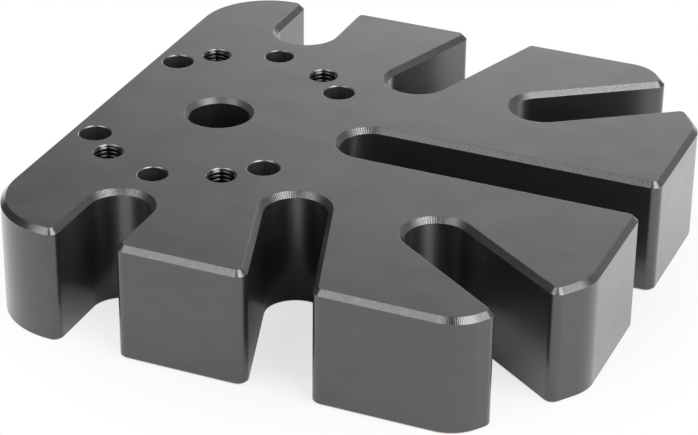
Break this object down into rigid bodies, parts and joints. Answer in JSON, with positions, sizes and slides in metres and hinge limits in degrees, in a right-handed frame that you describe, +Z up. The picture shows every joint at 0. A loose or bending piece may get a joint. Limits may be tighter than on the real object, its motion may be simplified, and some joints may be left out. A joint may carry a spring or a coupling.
{
  "type": "five-axis base plate",
  "caption": "Thick slotted steel plate that seats a five-axis vise on a centring bore and bolts it to a machine table through open slots.",
  "frame": {"origin": "on the axis of the centring bore, in the underside", "axes": "+X along the front slot, +Z up out of the top face, +Y to the left; the plate is symmetric about the XZ plane"},
  "size_m": [0.2343, 0.235, 0.0487],
  "materials": {
    "blackened_steel": "satin black-oxide steel, ground on top and milled on its sides"
  },
  "bodies": {
    "root": {"base_plate": "blackened_steel"}
  },
  "joints": []
}
